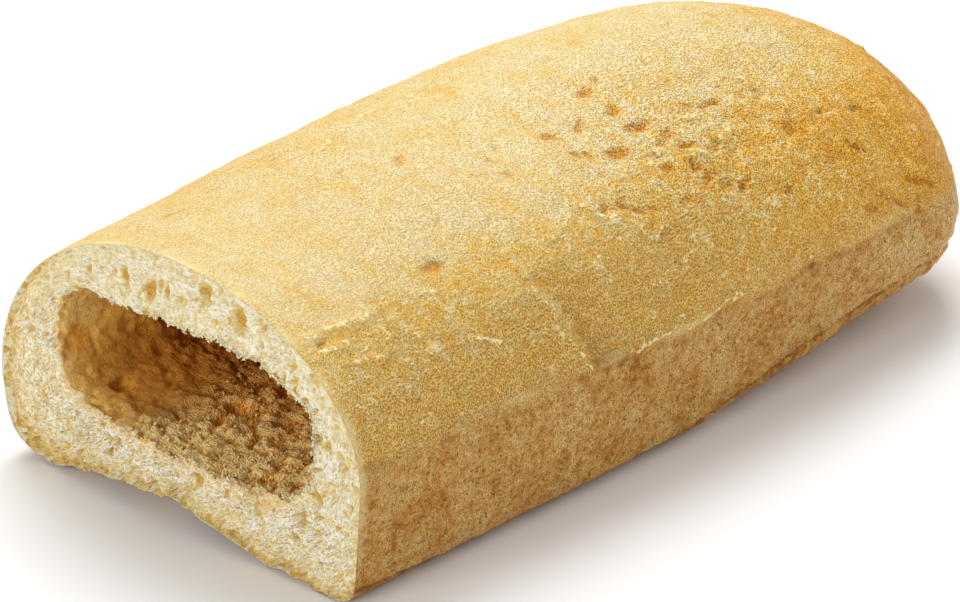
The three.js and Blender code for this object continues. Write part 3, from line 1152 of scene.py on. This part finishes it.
# Colours of the crumb: the cut face and its edge by the crust, then the hollow and its smooth far side
CRUMB = (0.84, 0.755, 0.52)
CELL = (0.68, 0.525, 0.19)
SMALL_CELL = (0.59, 0.44, 0.135)
THREAD = (0.98, 0.955, 0.86)
PIT = (0.72, 0.49, 0.115)
PIT_MIDDLE = (0.60, 0.34, 0.045)
EDGE_GOLDS = [
    (0.3, (0.92, 0.74, 0.39)),
    (0.7, (0.83, 0.575, 0.19)),
    (1.1, (0.58, 0.35, 0.085)),
]
CLUMP_GOLDS = [
    (0.0, (1.0, 0.76, 0.345)),
    (0.3, (1.0, 0.595, 0.152)),
    (0.65, (0.80, 0.355, 0.038)),
    (1.0, (0.46, 0.147, 0.009)),
]
SMOOTH_GOLDS = [
    (0.0, (0.96, 0.66, 0.21)),
    (0.25, (1.0, 0.61, 0.118)),
    (1.0, (0.95, 0.44, 0.038)),
]
SMOOTH_PIT = (0.84, 0.38, 0.025)
FLECK = (0.84, 0.58, 0.25)
SMOOTH_DOT = (0.70, 0.58, 0.42)  # factors
DEEP_SHADE = (0.79, 0.55, 0.30)
LOW_SHADE = (0.60, 0.49, 0.40)
CRUMB_SHADER = {
    "Roughness": 0.7,
    "Specular IOR Level": 0.1,
    "Subsurface Weight": 0.2,
    "Subsurface Radius": (1.6, 1.0, 0.4),
    "Subsurface Scale": 0.001,
}
CRUMB_BUMP_DISTANCE = 0.0005


def face_colour(tree, cell, small_cell, thread, pit, fine):
    """Colour of the cut face: white threads round tan cells, golden pores and edge."""
    open_crumb = mark(tree, "open")
    edge = mark(tree, "edge")
    open_share = add_part(0.6, open_crumb, 0.5, 0.0)
    colour = blend(CRUMB, CELL, times(cell, open_share))
    colour = blend(colour, SMALL_CELL, times(small_cell, times(open_share, 0.9)))
    colour = blend(colour, THREAD, times(thread, open_share))
    colour = blend(colour, PIT, times(pit, 0.85))
    pit_middle = between(mark(tree, "pit"), 0.65, 0.95)
    colour = blend(colour, PIT_MIDDLE, times(pit_middle, 0.85))
    gold = add_parts(edge, (fine, 2.0), (cell, 0.6))
    colour = blend(colour, ramp(gold, EDGE_GOLDS), edge)
    unevenness = add_part(0.5, open_crumb, 1.0, 0.0)
    shading = times(add_part(0.0, fine, 1.0), unevenness)
    return tint(colour, add_part(1.03, shading, 1.0, 0.0), 1.0)


def smooth_colour(tree, depth_shade, clump_off, fine):
    """Colour of the hollow's smooth far side: golden, browner with painted shade further in, mottled, with
    small dots.
    """
    colour = blend(ramp(depth_shade, SMOOTH_GOLDS), SMOOTH_PIT, times(mark(tree, "pit"), 0.7))
    dots = between(speckle(object_place(tree), 1500.0, 1.0), 0.44, 0.35)
    colour = tint(colour, SMOOTH_DOT, times(dots, 0.6))
    mottle = add_parts(1.04, (fine, 0.6), (clump_off, -1.2, 0.08))
    return tint(colour, mottle, 1.0)


def hollow_colour(tree, smooth, pit, fine):
    """Colour of the hollow: golden clumps, with painted shade further in and low on the far side, and the
    smooth far side.
    """
    depth_shade = mark(tree, "depth_shade")
    clump_off = off_middle(flow_speckle(tree, 0.9, 0.9, 2.0))
    clump = add_parts(times(pit, 0.6), (clump_off, 4.6, 0.075), (fine, 1.4), (depth_shade, 0.25, 0.3))
    colour = tint(ramp(clump, CLUMP_GOLDS), DEEP_SHADE, depth_shade)
    colour = blend(colour, smooth_colour(tree, depth_shade, clump_off, fine), times(smooth, 0.85))
    colour = tint(colour, LOW_SHADE, mark(tree, "shade"))
    return blend(colour, FLECK, times(mark(tree, "fleck"), 0.5))


def crumb_material():
    """Torn crumb: white threads round small cells, golden next to the crust and down the hollow."""
    material, tree, shader = new_material("torn_crumb")
    off = off_middle(flow_speckle(tree, 1.25, 0.62, 2.0))
    small_off = off_middle(flow_speckle(tree, 2.5, 1.4, 1.0))
    fine = speckle(object_place(tree), 3500.0, 1.0)
    thread = larger(between(off, 0.05, 0.0), between(small_off, 0.06, 0.0))
    cell = between(off, 0.04, 0.14)
    small_cell = between(small_off, 0.08, 0.16)
    pit = between(add_part(mark(tree, "pit"), fine, 1.0), 0.3, 0.7)
    smooth = mark(tree, "smooth")
    face = face_colour(tree, cell, small_cell, thread, pit, fine)
    colour = blend(face, hollow_colour(tree, smooth, pit, fine), mark(tree, "hollow"))
    height = add_parts(times(cell, -0.6), (thread, 0.5), (fine, 0.8))
    strength = times(between(smooth, 1.6, 0.0), 0.55)
    bump = {"Height": height, "Strength": strength, "Distance": CRUMB_BUMP_DISTANCE}
    set_shader(tree, shader, colour, bump, CRUMB_SHADER)
    return material


def make_bun():
    """The loaf as two closed pieces, crust and crumb, and the torn flecks on the crumb."""
    crust_look = crust_material()
    crumb_look = crumb_material()

    crust = Skin(crust_plan())
    crust.make_mesh("golden_crust")
    crust_relief(crust)
    crust.apply_relief()
    crust.mesh.materials.append(crust_look)
    crust.mesh.materials.append(crumb_look)
    looks = [int(region != CRUST) for region in crust.face_region]
    crust.mesh.polygons.foreach_set("material_index", looks)
    add_piece(crust.mesh)

    crumb = Skin(crumb_plan())
    crumb.make_mesh("white_crumb")
    cut_relief(crumb)
    hollow_relief(crumb)
    tear_mouth(crumb)
    crumb.apply_relief()
    crumb.mesh.materials.append(crumb_look)
    add_piece(crumb.mesh)
    make_flecks(crumb, crumb_look)


# Camera of the photograph: the aim lands on the middle of the picture
CAMERA_AIM = (-11.35, 0.0, 12.08)
CAMERA_TURN = 47.46
CAMERA_LIFT = 25.8
CAMERA_DISTANCE = 561.3
CAMERA_LENS = 150.0
CAMERA_SENSOR = 36.0
CAMERA_CLIP = 0.01

# Studio, in metres: the floor, the light of the surroundings, and soft square lights that face the bun
FLOOR_REACH = 3.0
FLOOR_DROP = 0.0002
FLOOR_COLOUR = (0.93, 0.93, 0.93, 1)
FLOOR_ROUGHNESS = 0.8
SKY_COLOUR = (1.0, 1.0, 1.0, 1)
SKY_STRENGTH = 0.34
LIGHT_DISTANCE = 1.3
LIGHTS = [
    {"name": "overhead", "direction": (0.32, 0.42, 0.85), "size": 0.8, "power": 14.6},
    {"name": "left", "direction": (-0.92, 0.0, 0.37), "size": 0.6, "power": 7.7},
    {"name": "right", "direction": (0.6, -0.6, 0.5), "size": 0.9, "power": 3.6},
]


def make_camera():
    turn, lift = math.radians(CAMERA_TURN), math.radians(CAMERA_LIFT)
    back = Vector((-math.cos(lift) * math.sin(turn), -math.cos(lift) * math.cos(turn), math.sin(lift)))
    data = bpy.data.cameras.new("camera")
    data.lens = CAMERA_LENS
    data.sensor_width = CAMERA_SENSOR
    data.clip_start = CAMERA_CLIP
    camera = bpy.data.objects.new("camera", data)
    camera.location = (Vector(CAMERA_AIM) + back * CAMERA_DISTANCE) * MM
    camera.rotation_euler = back.to_track_quat("Z", "Y").to_euler()
    bpy.context.scene.collection.objects.link(camera)
    bpy.context.scene.camera = camera


def add_light(name, direction, size, power):
    data = bpy.data.lights.new(name, "AREA")
    data.size = size
    data.energy = power
    light = bpy.data.objects.new(name, data)
    away = Vector(direction).normalized()
    light.location = away * LIGHT_DISTANCE
    light.rotation_euler = away.to_track_quat("Z", "Y").to_euler()
    bpy.context.scene.collection.objects.link(light)


def make_floor():
    """A pale floor just under the bun."""
    mesh = bpy.data.meshes.new("floor")
    near, far = -FLOOR_REACH, FLOOR_REACH
    mesh.from_pydata([(near, near, 0), (far, near, 0), (far, far, 0), (near, far, 0)], [], [(0, 1, 2, 3)])
    floor = bpy.data.objects.new("floor", mesh)
    floor.location.z = -FLOOR_DROP
    bpy.context.scene.collection.objects.link(floor)
    material, tree, shader = new_material("pale_floor")
    shader.inputs["Base Color"].default_value = FLOOR_COLOUR
    shader.inputs["Roughness"].default_value = FLOOR_ROUGHNESS
    mesh.materials.append(material)


def make_studio():
    """A floor, soft light from above and both sides, and even light all round."""
    make_floor()
    for light in LIGHTS:
        add_light(**light)
    world = bpy.data.worlds.new("studio")
    world.use_nodes = True
    background = world.node_tree.nodes["Background"]
    background.inputs["Color"].default_value = SKY_COLOUR
    background.inputs["Strength"].default_value = SKY_STRENGTH
    bpy.context.scene.world = world
    bpy.context.scene.view_settings.view_transform = "Standard"


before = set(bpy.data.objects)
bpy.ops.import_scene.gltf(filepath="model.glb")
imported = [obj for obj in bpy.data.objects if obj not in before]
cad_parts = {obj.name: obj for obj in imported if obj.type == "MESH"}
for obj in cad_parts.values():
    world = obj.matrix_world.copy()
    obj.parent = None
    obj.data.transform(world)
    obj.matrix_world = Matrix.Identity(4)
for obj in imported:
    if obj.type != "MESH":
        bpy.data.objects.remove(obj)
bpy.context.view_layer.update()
make_camera()
make_studio()
make_bun()
